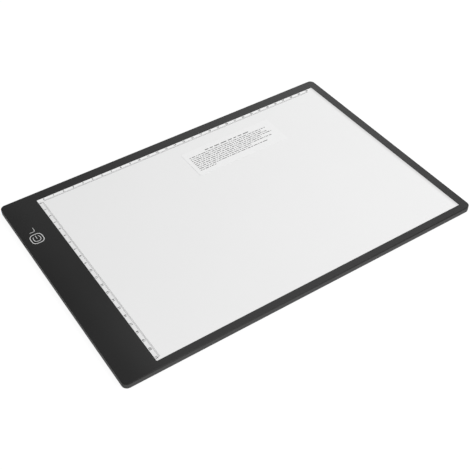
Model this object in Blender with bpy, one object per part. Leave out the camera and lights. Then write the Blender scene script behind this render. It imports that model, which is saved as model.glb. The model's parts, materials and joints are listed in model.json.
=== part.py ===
# A thin LED tracing pad for an A4 sheet. A drafted moulded tray is closed by a face frame
# with a wide band on the left, which holds the touch key and, in its side, the power inlet.
# An opal panel fills the window. A row of LEDs in the band lights a clear guide plate edge on.
#
# Metres, +Z up. The origin lies on the table, under the middle of the pad. +X runs from the
# wide band to the far short edge, and +Y from the front edge to the back one.

import math

import bmesh
import bpy
from mathutils import Vector

mm = 0.001

# Outline and window
pad_length = 354.4 * mm
pad_width = 235.7 * mm
corner_radius = 5.0 * mm
border_left = 32.1 * mm
border_right = 8.2 * mm
border_front = 6.8 * mm
border_back = 10.5 * mm
window_corner_radius = 0.5 * mm
window_edge_break = 0.12 * mm
window_recess = 0.15 * mm  # how far the panel lies below the frame's face
window_clearance = 0.12 * mm  # round the panel's raised field

# Layers, from the table up
foot_proud = 0.5 * mm
floor_thickness = 1.0 * mm
reflector_thickness = 0.2 * mm
guide_thickness = 2.5 * mm
diffuser_thickness = 0.2 * mm
flange_thickness = 0.5 * mm
face_tape_thickness = 0.1 * mm
frame_thickness = 1.0 * mm
layer_gap = 0.05 * mm

# Tray
wall_thickness = 1.6 * mm
wall_draft = 0.1 * mm  # how far the outside draws in over the wall's height
bottom_edge_radius = 0.2 * mm
floor_fillet = 0.4 * mm
seam_depth = 0.3 * mm
seam_height = 0.3 * mm
rib_thickness = 0.9 * mm
rib_pitch = 24.0 * mm
support_gap = 0.1 * mm  # between a rib's top and the frame
locator_width = 3.0 * mm
locator_pitch = 58.0 * mm
locator_clearance = 0.2 * mm

# Frame
frame_edge_radius = 0.4 * mm
lip_clearance = 0.15 * mm
lip_thickness = 0.7 * mm
lip_depth = 1.0 * mm
key_pocket_clearance = 0.7 * mm  # round the key's electrode
key_pocket_radius = 2.0 * mm
key_pocket_depth = 0.4 * mm

# Light panel
stack_clearance = 0.35 * mm  # between the frame's lip and the sheets
guide_lead = 6.0 * mm  # how far the guide runs on under the wide band
edge_tape_thickness = 0.1 * mm
face_tape_setback = 0.5 * mm
face_tape_window_margin = 1.0 * mm

# Row of LEDs
led_count = 24
led_end_margin = 11.8 * mm
led_width = 4.0 * mm
led_depth = 0.9 * mm
led_gap = 0.2 * mm  # between the LEDs and the guide
led_height_margin = 0.4 * mm
led_cup_depth = 0.35 * mm
led_cup_rim = 0.25 * mm
led_cup_taper = 0.2 * mm
led_board_thickness = 0.8 * mm
led_tape_thickness = 0.15 * mm
led_rib_thickness = 1.2 * mm
led_rib_clearance = 0.3 * mm  # between the rib and the sheets' left edges
wire_gate = 8.5 * mm  # where the rib stops short for the wires
wire_clearance = 0.6 * mm  # between the wires and the cross ribs

# Control board and touch key
key_from_back = 56.0 * mm
key_band_share = 0.371  # how far across the wide band the key lies
port_offset = 0.8 * mm  # from the key's middle towards the back
board_length = 34.0 * mm
board_thickness = 0.8 * mm
board_wall_clearance = 0.6 * mm
board_rib_clearance = 0.3 * mm
board_tape_thickness = 0.15 * mm
board_tape_setback = 2.0 * mm
peg_diameter = 1.5 * mm
peg_clearance = 0.2 * mm
peg_from_edge = 2.2 * mm
peg_height = 0.5 * mm  # above the board
electrode_size = 8.6 * mm
electrode_radius = 1.2 * mm

# Micro USB inlet
shell_width = 7.5 * mm
shell_height = 2.4 * mm
shell_length = 5.0 * mm
shell_metal = 0.25 * mm
shell_headroom = 0.5 * mm
shell_setback = 0.5 * mm  # its mouth behind the pad's side
shell_flare = 0.15 * mm
shell_flare_length = 0.5 * mm
shell_tab_length = 1.2 * mm
shell_tab_width = 0.9 * mm
port_clearance = 0.45 * mm
shell_fit = 0.15 * mm
insulator_block_length = 1.5 * mm
tongue_length = 2.5 * mm
tongue_width = 3.7 * mm
tongue_thickness = 0.6 * mm

# Small parts on the control board
chip_length = 2.9 * mm
chip_width = 1.6 * mm
chip_height = 1.1 * mm
lead_width = 0.4 * mm
lead_pitch = 0.95 * mm
lead_reach = 0.6 * mm
lead_thickness = 0.15 * mm
passive_length = 1.6 * mm
passive_width = 0.8 * mm
resistor_height = 0.45 * mm
capacitor_height = 0.8 * mm
terminal_length = 0.3 * mm
terminal_step = 0.03 * mm
wire_count = 2
wire_diameter = 0.8 * mm
wire_spacing = 1.4 * mm

# Feet
foot_diameter = 10.0 * mm
foot_seat_clearance = 0.2 * mm
foot_seat_depth = 0.3 * mm
foot_edge_radius = 0.25 * mm
foot_inset = 16.0 * mm

# Label on the window, placed from the window's right and back edges
label_length = 100.8 * mm
label_width = 36.4 * mm
label_from_right = 70.6 * mm
label_from_back = 18.2 * mm
label_thickness = 0.1 * mm
label_corner_radius = 0.8 * mm

overlap = 0.2 * mm  # how far one joined or cutting shape runs into the next

# Steps in a rounded form
corner_steps = 12
edge_steps = 4
round_steps = 32

# The inlet's outline as shares of its half width and its height, and where things sit on
# the control board as shares of its width and length from its front left corner
inlet_outline_shares = ((-1.0, 0.0), (1.0, 0.0), (1.0, 0.58), (0.74, 1.0), (-0.74, 1.0), (-1.0, 0.58))
touch_chip_shares = (0.62, 0.17)
led_driver_shares = (0.42, 0.86)
resistor_shares = ((0.30, 0.12), (0.30, 0.24), (0.80, 0.72))
capacitor_shares = ((0.86, 0.27), (0.18, 0.80))
wire_pad_shares = (0.90, 0.93)

# Heights
z_floor = foot_proud + floor_thickness
z_reflector = z_floor + layer_gap
z_guide = z_reflector + reflector_thickness + layer_gap
z_guide_top = z_guide + guide_thickness
z_diffuser = z_guide_top + layer_gap
z_panel = z_diffuser + diffuser_thickness + layer_gap
z_face_tape = z_panel + flange_thickness + layer_gap
z_frame = z_face_tape + face_tape_thickness + layer_gap
z_face = z_frame + frame_thickness
z_window = z_face - window_recess
z_rim = z_frame - layer_gap
z_lip = z_frame - lip_depth
z_support = z_frame - support_gap
z_board = z_floor + layer_gap + board_tape_thickness + layer_gap
z_board_top = z_board + board_thickness
z_parts = z_board_top + layer_gap

# Plan: each rectangle is (left, right, front, back)
outline = (-pad_length / 2, pad_length / 2, -pad_width / 2, pad_width / 2)
window = (
    outline[0] + border_left,
    outline[1] - border_right,
    outline[2] + border_front,
    outline[3] - border_back,
)
lip_inset = wall_thickness + lip_clearance
stack_inset = lip_inset + lip_thickness + stack_clearance
stack_right = outline[1] - stack_inset
stack_front = outline[2] + stack_inset
stack_back = outline[3] - stack_inset
guide_left = window[0] - guide_lead
guide = (
    guide_left,
    stack_right - edge_tape_thickness - layer_gap,
    stack_front + edge_tape_thickness + layer_gap,
    stack_back - edge_tape_thickness - layer_gap,
)
led_front_x = guide_left - led_gap
led_board_x = led_front_x - led_depth - layer_gap
led_tape_x = led_board_x - led_board_thickness - layer_gap
led_rib_x = led_tape_x - led_tape_thickness - layer_gap
led_rib_left = led_rib_x - led_rib_thickness
led_rib_back = stack_back - wire_gate
sheet = (led_rib_x + led_rib_clearance, stack_right, stack_front, stack_back)
inner_left = outline[0] + wall_thickness
cross_rib_end = led_rib_left - wire_count * wire_spacing - wire_diameter / 2 - wire_clearance
key_x = outline[0] + key_band_share * border_left
key_y = outline[3] - key_from_back
port_y = key_y + port_offset
board = (
    inner_left + board_wall_clearance,
    cross_rib_end - board_rib_clearance,
    port_y - board_length / 2,
    port_y + board_length / 2,
)
wire_run_in = (wire_count + 2) * wire_spacing  # past the board, where the wires cross to their channel
shell_x = outline[0] + shell_setback
shell_z = z_frame - shell_headroom - shell_height


def inset(rect, amount):
    left, right, front, back = rect
    return left + amount, right - amount, front + amount, back - amount


def rounded_loop(rect, radius, z):
    left, right, front, back = rect
    corners = (
        (right - radius, front + radius, -90),
        (right - radius, back - radius, 0),
        (left + radius, back - radius, 90),
        (left + radius, front + radius, 180),
    )
    points = []
    for x, y, start in corners:
        for step in range(corner_steps + 1):
            angle = math.radians(start + 90 * step / corner_steps)
            points.append(Vector((x + radius * math.cos(angle), y + radius * math.sin(angle), z)))
    return points


def sharp_loop(rect, z):
    left, right, front, back = rect
    return [Vector((x, y, z)) for x, y in ((left, front), (right, front), (right, back), (left, back))]


def side_loop(y, width, low, high, x):
    near = y - width / 2
    far = y + width / 2
    return [Vector((x, a, b)) for a, b in ((near, low), (far, low), (far, high), (near, high))]


def outline_loop(amount, z):
    return rounded_loop(inset(outline, amount), corner_radius - amount, z)


def window_loop(amount, z):
    return rounded_loop(inset(window, -amount), window_corner_radius + amount, z)


def quarter_round(radius):
    # A quarter circle from (0, 0) to (radius, radius), which sets out along the second direction
    angles = [math.pi / 2 * step / edge_steps for step in range(edge_steps + 1)]
    return [(radius * (1 - math.cos(angle)), radius * math.sin(angle)) for angle in angles]


def add_loft(bm, loops, ring=False):
    rows = [[bm.verts.new(point) for point in loop] for loop in loops]
    pairs = list(zip(rows, rows[1:]))
    faces = []
    if ring:
        pairs.append((rows[-1], rows[0]))
    else:
        faces.append(bm.faces.new(rows[0]))
        faces.append(bm.faces.new(rows[-1]))
    for first, second in pairs:
        for i in range(len(first)):
            j = (i + 1) % len(first)
            faces.append(bm.faces.new((first[i], first[j], second[j], second[i])))
    bmesh.ops.recalc_face_normals(bm, faces=faces)


def add_prism(bm, polygon, place):
    # place turns a point of the polygon and 0 or 1, for the near or far end, into a position
    add_loft(bm, [[place(point, end) for point in polygon] for end in (0, 1)])


def add_box(bm, rect, low, high):
    add_loft(bm, [sharp_loop(rect, low), sharp_loop(rect, high)])


def add_disc(bm, x, y, profile):
    # A turned solid: profile holds (radius, z) from one end to the other
    loops = []
    for radius, z in profile:
        turns = [math.tau * step / round_steps for step in range(round_steps)]
        loops.append([Vector((x + radius * math.cos(a), y + radius * math.sin(a), z)) for a in turns])
    add_loft(bm, loops)


def to_object(name, bm, material=None, smooth=False):
    # The object's origin goes to the middle of its own footprint, at its lowest point
    low = Vector([min(v.co[i] for v in bm.verts) for i in range(3)])
    high = Vector([max(v.co[i] for v in bm.verts) for i in range(3)])
    origin = Vector(((low.x + high.x) / 2, (low.y + high.y) / 2, low.z))
    bmesh.ops.translate(bm, verts=bm.verts, vec=-origin)
    mesh = bpy.data.meshes.new(name)
    bm.to_mesh(mesh)
    bm.free()
    if smooth:
        mesh.shade_smooth()
        mesh.set_sharp_from_angle(angle=math.radians(35))
    obj = bpy.data.objects.new(name, mesh)
    obj.location = origin
    if material:
        mesh.materials.append(material)
        obj.parent = pad
    else:
        obj.hide_render = True
        obj.display_type = "WIRE"
    bpy.context.collection.objects.link(obj)
    return obj


def loft(name, loops, material, ring=False, smooth=False):
    bm = bmesh.new()
    add_loft(bm, loops, ring)
    return to_object(name, bm, material, smooth)


def slab(name, rect, radius, low, high, material):
    return loft(name, [rounded_loop(rect, radius, low), rounded_loop(rect, radius, high)], material)


def block(name, rect, low, high, material):
    return loft(name, [sharp_loop(rect, low), sharp_loop(rect, high)], material)


def combine(obj, tool, operation):
    modifier = obj.modifiers.new(tool.name, "BOOLEAN")
    modifier.object = tool
    modifier.operation = operation
    modifier.solver = "EXACT"


def material_of(name, colour, roughness, metallic=0.0):
    material = bpy.data.materials.new(name)
    material.use_nodes = True
    shader = material.node_tree.nodes["Principled BSDF"]
    shader.inputs["Base Color"].default_value = (*colour, 1.0)
    shader.inputs["Roughness"].default_value = roughness
    shader.inputs["Metallic"].default_value = metallic
    material.diffuse_color = (*colour, 1.0)
    return material


def evenly_placed(start, end, pitch):
    # The places of copies at the given pitch, centred between two ends
    count = int((end - start) / pitch) + 1
    first = (start + end - (count - 1) * pitch) / 2
    return [first + i * pitch for i in range(count)]


def tray_ribs():
    # Everything that stands on the tray's floor
    bm = bmesh.new()
    root = z_floor - overlap

    # The long rib that backs the row of LEDs
    add_box(bm, (led_rib_left, led_rib_x, stack_front, led_rib_back), root, z_support)

    # Cross ribs carry the wide band. Each is stepped to pass under the frame's lip.
    lip_clear_x = outline[0] + stack_inset
    under_lip = z_lip - lip_clearance
    profile = (
        (inner_left - overlap, root),
        (cross_rib_end, root),
        (cross_rib_end, z_support),
        (lip_clear_x, z_support),
        (lip_clear_x, under_lip),
        (inner_left - overlap, under_lip),
    )
    for y in evenly_placed(stack_front + rib_pitch / 2, stack_back - rib_pitch / 2, rib_pitch):
        if board[2] - rib_thickness < y < board[3] + wire_run_in + rib_thickness:
            continue
        near = y - rib_thickness / 2
        add_prism(bm, profile, lambda p, end, near=near: Vector((p[0], near + end * rib_thickness, p[1])))

    # Locators on the inside of the three narrow walls centre the sheets
    reach = stack_inset - locator_clearance
    half = locator_width / 2
    for y in evenly_placed(stack_front + corner_radius, stack_back - corner_radius, locator_pitch):
        right = (outline[1] - reach, outline[1] - wall_thickness + overlap, y - half, y + half)
        add_box(bm, right, root, under_lip)
    for x in evenly_placed(guide[0], guide[1] - corner_radius, locator_pitch):
        front = (x - half, x + half, outline[2] + wall_thickness - overlap, outline[2] + reach)
        back = (x - half, x + half, outline[3] - reach, outline[3] - wall_thickness + overlap)
        add_box(bm, front, root, under_lip)
        add_box(bm, back, root, under_lip)

    # Pegs locate the control board
    peg = peg_diameter / 2
    for x, y in peg_places():
        tip = z_board_top + peg_height
        add_disc(bm, x, y, ((peg, root), (peg, tip - peg_clearance), (peg - peg_clearance, tip)))
    return to_object("tray_ribs", bm)


def peg_places():
    left, right, front, back = inset(board, peg_from_edge)
    return (right, front), (left, back)


def foot_places():
    left, right, front, back = inset(outline, foot_inset)
    return {
        "foot_front_left": (left, front),
        "foot_front_right": (right, front),
        "foot_back_left": (left, back),
        "foot_back_right": (right, back),
    }


def back_cover(material):
    loops = [outline_loop(wall_thickness + floor_fillet - along, z_floor + up)
             for up, along in quarter_round(floor_fillet)]
    loops.append(outline_loop(wall_thickness, z_rim))
    loops.append(outline_loop(seam_depth, z_rim))
    loops.append(outline_loop(seam_depth, z_rim - seam_height))
    loops.append(outline_loop(0, z_rim - seam_height))
    for across, down in quarter_round(bottom_edge_radius):
        loops.append(outline_loop(wall_draft + across, foot_proud + bottom_edge_radius - down))
    tray = loft("back_cover", loops, material)
    combine(tray, tray_ribs(), "UNION")

    cutters = bmesh.new()
    half = shell_width / 2 + port_clearance
    port = (outline[0] - overlap, inner_left + overlap, port_y - half, port_y + half)
    add_box(cutters, port, shell_z - port_clearance, z_frame + overlap)
    seat = foot_diameter / 2 + foot_seat_clearance
    for x, y in foot_places().values():
        add_disc(cutters, x, y, ((seat, foot_proud - overlap), (seat, foot_proud + foot_seat_depth)))
    combine(tray, to_object("tray_cutters", cutters), "DIFFERENCE")


def face_frame(material):
    loops = [outline_loop(0, z_frame)]
    for across, up in quarter_round(frame_edge_radius):
        loops.append(outline_loop(across, z_face - frame_edge_radius + up))
    loops.append(window_loop(window_edge_break, z_face))
    loops.append(window_loop(0, z_face - window_edge_break))
    loops.append(window_loop(0, z_frame))
    loops.append(outline_loop(lip_inset + lip_thickness, z_frame))
    loops.append(outline_loop(lip_inset + lip_thickness, z_lip))
    loops.append(outline_loop(lip_inset, z_lip))
    loops.append(outline_loop(lip_inset, z_frame))
    frame = loft("face_frame", loops, material, ring=True)

    # The lip stops either side of the inlet, and the band is thinned over the touch key
    cutters = bmesh.new()
    half = shell_width / 2 + port_clearance + lip_thickness
    gap = (inner_left, outline[0] + stack_inset, port_y - half, port_y + half)
    add_box(cutters, gap, z_lip - overlap, z_frame)
    pocket_half = electrode_size / 2 + key_pocket_clearance
    pocket = (key_x - pocket_half, key_x + pocket_half, key_y - pocket_half, key_y + pocket_half)
    pocket_heights = (z_lip, z_frame + key_pocket_depth)
    add_loft(cutters, [rounded_loop(pocket, key_pocket_radius, z) for z in pocket_heights])
    combine(frame, to_object("frame_cutters", cutters), "DIFFERENCE")


def light_panel(opal, film, clear, tape):
    sheet_radius = corner_radius - stack_inset
    guide_radius = sheet_radius - edge_tape_thickness - layer_gap
    slab("reflector_film", sheet, sheet_radius, z_reflector, z_reflector + reflector_thickness, film)
    slab("light_guide", guide, guide_radius, z_guide, z_guide_top, clear)
    slab("diffuser_film", sheet, sheet_radius, z_diffuser, z_diffuser + diffuser_thickness, film)

    field = inset(window, window_clearance)
    field_radius = window_corner_radius - window_clearance
    flange_top = z_panel + flange_thickness
    loops = [rounded_loop(sheet, sheet_radius, z) for z in (z_panel, flange_top)]
    loops += [rounded_loop(field, field_radius, z) for z in (flange_top, z_window)]
    panel = bmesh.new()
    add_loft(panel, loops)
    # An edge across the field, from back left to front right, keeps its front half clear of the label
    top = max(panel.faces, key=lambda face: face.calc_center_median().z)
    across = sorted(top.verts, key=lambda vertex: vertex.co.x - vertex.co.y)
    bmesh.utils.face_split(top, across[0], across[-1])
    to_object("window_panel", panel, opal)

    outer = inset(sheet, face_tape_setback)
    tape_top = z_face_tape + face_tape_thickness
    loops = [rounded_loop(outer, sheet_radius - face_tape_setback, z) for z in (z_face_tape, tape_top)]
    loops += [window_loop(face_tape_window_margin, z) for z in (tape_top, z_face_tape)]
    loft("face_tape", loops, tape, ring=True)

    # The edge tapes end where the guide's corners start
    outside = inset(guide, -edge_tape_thickness - layer_gap)
    inside = inset(guide, -layer_gap)
    left, right, front, back = inset(guide, guide_radius)
    edge_tapes = {
        "edge_tape_right": (inside[1], outside[1], front, back),
        "edge_tape_front": (left, right, outside[2], inside[2]),
        "edge_tape_back": (left, right, inside[3], outside[3]),
    }
    for name, rect in edge_tapes.items():
        block(name, rect, z_guide, z_guide_top, tape)


def led_row(laminate, ceramic, tape):
    board_rect = (led_board_x - led_board_thickness, led_board_x, guide[2], guide[3])
    block("led_board", board_rect, z_guide, z_guide_top, laminate)
    tape_rect = (led_tape_x - led_tape_thickness, led_tape_x, guide[2], led_rib_back)
    block("led_tape", tape_rect, z_guide, z_guide_top, tape)

    # One package with its reflector cup, then the row
    low = z_guide + led_height_margin
    high = z_guide_top - led_height_margin
    cup = led_cup_rim + led_cup_taper
    cup_x = led_front_x - led_cup_depth
    loops = [
        side_loop(0, led_width - 2 * cup, low + cup, high - cup, cup_x),
        side_loop(0, led_width - 2 * led_cup_rim, low + led_cup_rim, high - led_cup_rim, led_front_x),
        side_loop(0, led_width, low, high, led_front_x),
        side_loop(0, led_width, low, high, led_front_x - led_depth),
    ]
    start = guide[2] + led_end_margin
    pitch = (guide[3] - led_end_margin - start) / (led_count - 1)
    first = loft("led_01", loops, ceramic)
    first.location.y = start
    for number in range(1, led_count):
        led = bpy.data.objects.new(f"led_{number + 1:02d}", first.data)
        led.location = (first.location.x, start + number * pitch, first.location.z)
        led.parent = pad
        bpy.context.collection.objects.link(led)


def inlet_loop(grow, x):
    half = shell_width / 2 + grow
    height = shell_height + 2 * grow
    return [Vector((x, port_y + a * half, shell_z - grow + b * height)) for a, b in inlet_outline_shares]


def power_inlet(steel, insulation):
    flare_x = shell_x + shell_flare_length
    back_x = shell_x + shell_length
    shell = loft("usb_shell", [
        inlet_loop(-shell_metal, back_x - shell_metal),
        inlet_loop(-shell_metal, flare_x),
        inlet_loop(shell_flare - shell_metal, shell_x),
        inlet_loop(shell_flare, shell_x),
        inlet_loop(0, flare_x),
        inlet_loop(0, back_x),
    ], steel)

    # Solder tabs rest on the board either side
    tabs = bmesh.new()
    middle = (board[0] + back_x) / 2
    for side in (-1, 1):
        wall = port_y + side * (shell_width / 2 - shell_metal / 2)
        tip = port_y + side * (shell_width / 2 + shell_tab_width)
        rect = (middle - shell_tab_length / 2, middle + shell_tab_length / 2, min(wall, tip), max(wall, tip))
        add_box(tabs, rect, z_parts, z_parts + shell_metal)
    combine(shell, to_object("shell_tabs", tabs), "UNION")

    fit = shell_metal + layer_gap
    root_x = back_x - fit
    step_x = root_x - insulator_block_length
    middle_z = shell_z + shell_height / 2
    tongue_low = middle_z - tongue_thickness / 2
    tongue = [Vector((0, port_y + a * tongue_width / 2, tongue_low + b * tongue_thickness))
              for a, b in inlet_outline_shares]
    loft("usb_insulator", [
        inlet_loop(-fit, root_x),
        inlet_loop(-fit, step_x),
        [Vector((step_x, p.y, p.z)) for p in tongue],
        [Vector((step_x - tongue_length, p.y, p.z)) for p in tongue],
    ], insulation)


def control_board(laminate, tape):
    notch = shell_width / 2 + shell_fit
    notch_x = shell_x + shell_length + shell_fit
    left, right, front, back = board
    corners = (
        (left, front),
        (right, front),
        (right, back),
        (left, back),
        (left, port_y + notch),
        (notch_x, port_y + notch),
        (notch_x, port_y - notch),
        (left, port_y - notch),
    )
    loops = [[Vector((x, y, z)) for x, y in corners] for z in (z_board, z_board_top)]
    plate = loft("control_board", loops, laminate)
    holes = bmesh.new()
    radius = peg_diameter / 2 + peg_clearance
    for x, y in peg_places():
        add_disc(holes, x, y, ((radius, z_board - overlap), (radius, z_board_top + overlap)))
    combine(plate, to_object("peg_holes", holes), "DIFFERENCE")

    # The tape leaves the pegs and the inlet clear
    peg_side = board[2] + peg_from_edge + peg_diameter
    rect = (notch_x + board_tape_setback, right - board_tape_setback, peg_side, back - board_tape_setback)
    low = z_floor + layer_gap
    slab("board_tape", rect, window_corner_radius, low, low + board_tape_thickness, tape)


def board_place(share):
    return board[0] + share[0] * (board[1] - board[0]), board[2] + share[1] * board_length


def chip(name, share, leads_front, leads_back, epoxy):
    # A small package with a drafted body and bent leads on its two long sides
    x, y = board_place(share)
    half_x = chip_length / 2
    half_y = chip_width / 2
    rect = (x - half_x, x + half_x, y - half_y, y + half_y)
    base = z_parts + lead_thickness
    top = z_parts + chip_height
    middle = (base + top) / 2
    body = loft(name, [
        sharp_loop(inset(rect, lead_thickness), base),
        sharp_loop(rect, middle),
        sharp_loop(inset(rect, lead_thickness), top),
    ], epoxy)
    leads = bmesh.new()
    profile = (
        (half_y - lead_thickness, middle),
        (half_y + lead_reach / 2, middle),
        (half_y + lead_reach / 2, z_parts + lead_thickness),
        (half_y + lead_reach, z_parts + lead_thickness),
        (half_y + lead_reach, z_parts),
        (half_y + lead_reach / 2 - lead_thickness, z_parts),
        (half_y + lead_reach / 2 - lead_thickness, middle - lead_thickness),
        (half_y - lead_thickness, middle - lead_thickness),
    )
    for side, count in ((-1, leads_front), (1, leads_back)):
        for i in range(count):
            lead_x = x + (i - (count - 1) / 2) * 2 * lead_pitch / max(count - 1, 1) - lead_width / 2
            add_prism(leads, profile, lambda p, end, s=side, lx=lead_x: Vector(
                (lx + end * lead_width, y + s * p[0], p[1])))
    combine(body, to_object(f"{name}_leads", leads), "UNION")


def passive(name, share, height, body):
    # A small block whose two metal ends stand slightly proud of its middle
    x, y = board_place(share)
    ends = ((0, 0), (terminal_length, 0), (terminal_length, terminal_step))
    stations = [(along - passive_length / 2, step) for along, step in ends]
    stations += [(passive_length / 2 - along, step) for along, step in reversed(ends)]
    loops = [side_loop(y, passive_width - 2 * step, z_parts + step, z_parts + height - step, x + along)
             for along, step in stations]
    loft(name, loops, body)


def wire(name, number, colour):
    # From a pad on the control board, along the channel and through the gate to the row of LEDs
    radius = wire_diameter / 2
    low = z_parts + radius
    high = z_guide + guide_thickness / 2
    pad_x, pad_y = board_place(wire_pad_shares)
    pad_x -= number * wire_spacing
    lane_x = led_rib_left - wire_spacing * (number + 1)
    end_x = led_board_x - led_board_thickness - layer_gap * 2
    end_y = led_rib_back + wire_spacing * (number + 1) + radius
    lane_start = board[3] + wire_spacing * (number + 3)
    points = [
        Vector((pad_x, pad_y - wire_spacing, low)),
        Vector((pad_x, pad_y, low)),
        Vector((pad_x, pad_y + wire_spacing * (number + 1), low)),
        Vector((lane_x, lane_start, high)),
        Vector((lane_x, (lane_start + end_y) / 2, high)),
        Vector((lane_x, end_y - 3 * wire_spacing, high)),
        Vector(((lane_x + end_x) / 2 - wire_spacing, end_y - radius, high)),
        Vector((end_x - wire_spacing, end_y, high)),
        Vector((end_x, end_y, high)),
    ]
    curve = bpy.data.curves.new(name, "CURVE")
    curve.dimensions = "3D"
    curve.bevel_depth = radius
    curve.bevel_resolution = 2
    curve.use_fill_caps = True
    route = smooth_route(points, wire_diameter)
    spline = curve.splines.new("POLY")
    spline.points.add(len(route) - 1)
    for place, point in zip(spline.points, route):
        place.co = (*point, 1.0)
    curve.materials.append(colour)
    obj = bpy.data.objects.new(name, curve)
    obj.parent = pad
    bpy.context.collection.objects.link(obj)


def smooth_route(points, spacing):
    # A smooth curve through the points, read at about the given spacing
    ends = [points[0] * 2 - points[1]] + points + [points[-1] * 2 - points[-2]]
    route = [points[0]]
    for before, start, end, after in zip(ends, ends[1:], ends[2:], ends[3:]):
        steps = max(1, round((end - start).length / spacing))
        for step in range(1, steps + 1):
            t = step / steps
            bend = (
                2 * start
                + (end - before) * t
                + (2 * before - 5 * start + 4 * end - after) * t**2
                + (3 * start - before - 3 * end + after) * t**3
            )
            route.append(bend / 2)
    return route


def touch_electrode(foam):
    half = electrode_size / 2
    rect = (key_x - half, key_x + half, key_y - half, key_y + half)
    slab("touch_electrode", rect, electrode_radius, z_parts, z_frame + key_pocket_depth - layer_gap, foam)


def feet(rubber):
    top = foot_proud + foot_seat_depth - layer_gap
    radius = foot_diameter / 2
    profile = [(radius - foot_edge_radius + out, up) for up, out in quarter_round(foot_edge_radius)]
    profile.append((radius, top))
    mesh = None
    for name, (x, y) in foot_places().items():
        if mesh is None:
            bm = bmesh.new()
            add_disc(bm, 0, 0, profile)
            foot = to_object(name, bm, rubber, smooth=True)
            mesh = foot.data
        else:
            foot = bpy.data.objects.new(name, mesh)
            foot.parent = pad
            bpy.context.collection.objects.link(foot)
        foot.location = (x, y, 0)


def notice_label(paper):
    right = window[1] - label_from_right
    back = window[3] - label_from_back
    low = z_window + layer_gap
    rect = (right - label_length, right, back - label_width, back)
    slab("notice_label", rect, label_corner_radius, low, low + label_thickness, paper)


for old in list(bpy.data.objects):
    bpy.data.objects.remove(old)

pad = bpy.data.objects.new("tracing_pad", None)
bpy.context.collection.objects.link(pad)

black_plastic = material_of("black_plastic", (0.030, 0.030, 0.031), 0.45)
face_black = material_of("face_black", (0.028, 0.028, 0.029), 0.35)
opal_acrylic = material_of("opal_acrylic", (0.80, 0.80, 0.80), 0.30)
white_film = material_of("white_film", (0.86, 0.86, 0.85), 0.50)
clear_acrylic = material_of("clear_acrylic", (0.88, 0.92, 0.93), 0.08)
white_tape = material_of("white_tape", (0.78, 0.78, 0.76), 0.60)
black_tape = material_of("black_tape", (0.05, 0.05, 0.05), 0.70)
label_paper = material_of("label_paper", (0.85, 0.85, 0.85), 0.55)
board_white = material_of("board_white", (0.82, 0.82, 0.78), 0.40)
board_green = material_of("board_green", (0.03, 0.20, 0.08), 0.35)
led_ceramic = material_of("led_ceramic", (0.85, 0.82, 0.60), 0.40)
steel = material_of("steel", (0.62, 0.62, 0.60), 0.30, 1.0)
black_nylon = material_of("black_nylon", (0.02, 0.02, 0.02), 0.50)
epoxy_black = material_of("epoxy_black", (0.03, 0.03, 0.03), 0.60)
resistor_blue = material_of("resistor_blue", (0.05, 0.06, 0.12), 0.40)
capacitor_tan = material_of("capacitor_tan", (0.45, 0.33, 0.20), 0.45)
electrode_foam = material_of("electrode_foam", (0.10, 0.10, 0.11), 0.80)
wire_red = material_of("wire_red", (0.55, 0.03, 0.02), 0.45)
wire_black = material_of("wire_black", (0.02, 0.02, 0.02), 0.45)
foot_rubber = material_of("foot_rubber", (0.04, 0.04, 0.04), 0.75)

back_cover(black_plastic)
face_frame(face_black)
light_panel(opal_acrylic, white_film, clear_acrylic, white_tape)
led_row(board_white, led_ceramic, white_tape)
control_board(board_green, black_tape)
power_inlet(steel, black_nylon)
touch_electrode(electrode_foam)
chip("touch_chip", touch_chip_shares, 3, 3, epoxy_black)
chip("led_driver", led_driver_shares, 2, 1, epoxy_black)
for number, share in enumerate(resistor_shares, start=1):
    passive(f"resistor_{number}", share, resistor_height, resistor_blue)
for number, share in enumerate(capacitor_shares, start=1):
    passive(f"capacitor_{number}", share, capacitor_height, capacitor_tan)
wire("wire_positive", 0, wire_red)
wire("wire_negative", 1, wire_black)
feet(foot_rubber)
notice_label(label_paper)
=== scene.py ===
import json
import math

import bmesh
import bpy
from mathutils import Matrix, Vector


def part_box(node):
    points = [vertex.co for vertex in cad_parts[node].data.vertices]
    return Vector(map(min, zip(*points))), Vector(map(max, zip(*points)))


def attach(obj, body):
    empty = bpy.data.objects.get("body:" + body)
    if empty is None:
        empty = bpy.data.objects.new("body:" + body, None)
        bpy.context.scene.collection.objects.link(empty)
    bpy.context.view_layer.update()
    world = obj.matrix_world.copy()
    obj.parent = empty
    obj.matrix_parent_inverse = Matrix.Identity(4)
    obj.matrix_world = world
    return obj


mm = 0.001

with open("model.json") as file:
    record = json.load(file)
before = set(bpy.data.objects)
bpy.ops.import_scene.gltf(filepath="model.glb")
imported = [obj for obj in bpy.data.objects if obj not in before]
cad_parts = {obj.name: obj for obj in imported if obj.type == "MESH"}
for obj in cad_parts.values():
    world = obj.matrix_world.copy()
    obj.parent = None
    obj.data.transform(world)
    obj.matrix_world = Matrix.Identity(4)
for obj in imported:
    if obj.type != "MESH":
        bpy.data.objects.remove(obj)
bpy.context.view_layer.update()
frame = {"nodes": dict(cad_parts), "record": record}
nodes = frame["nodes"]
print("frame loaded,", len(nodes), "nodes")

# The window's rectangle, and the heights of the surfaces that carry print
borders = {"left": 32.1 * mm, "right": 8.2 * mm, "front": 6.8 * mm, "back": 10.5 * mm}
frameLow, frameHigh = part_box("face_frame")
faceZ = frameHigh.z
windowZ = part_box("window_panel")[1].z
labelLow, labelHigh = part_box("notice_label")
windowLeft = frameLow.x + borders["left"]
windowRight = frameHigh.x - borders["right"]
windowFront = frameLow.y + borders["front"]
windowBack = frameHigh.y - borders["back"]


# Camera, fitted to the window's corners and the ruler ticks in the photograph

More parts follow.
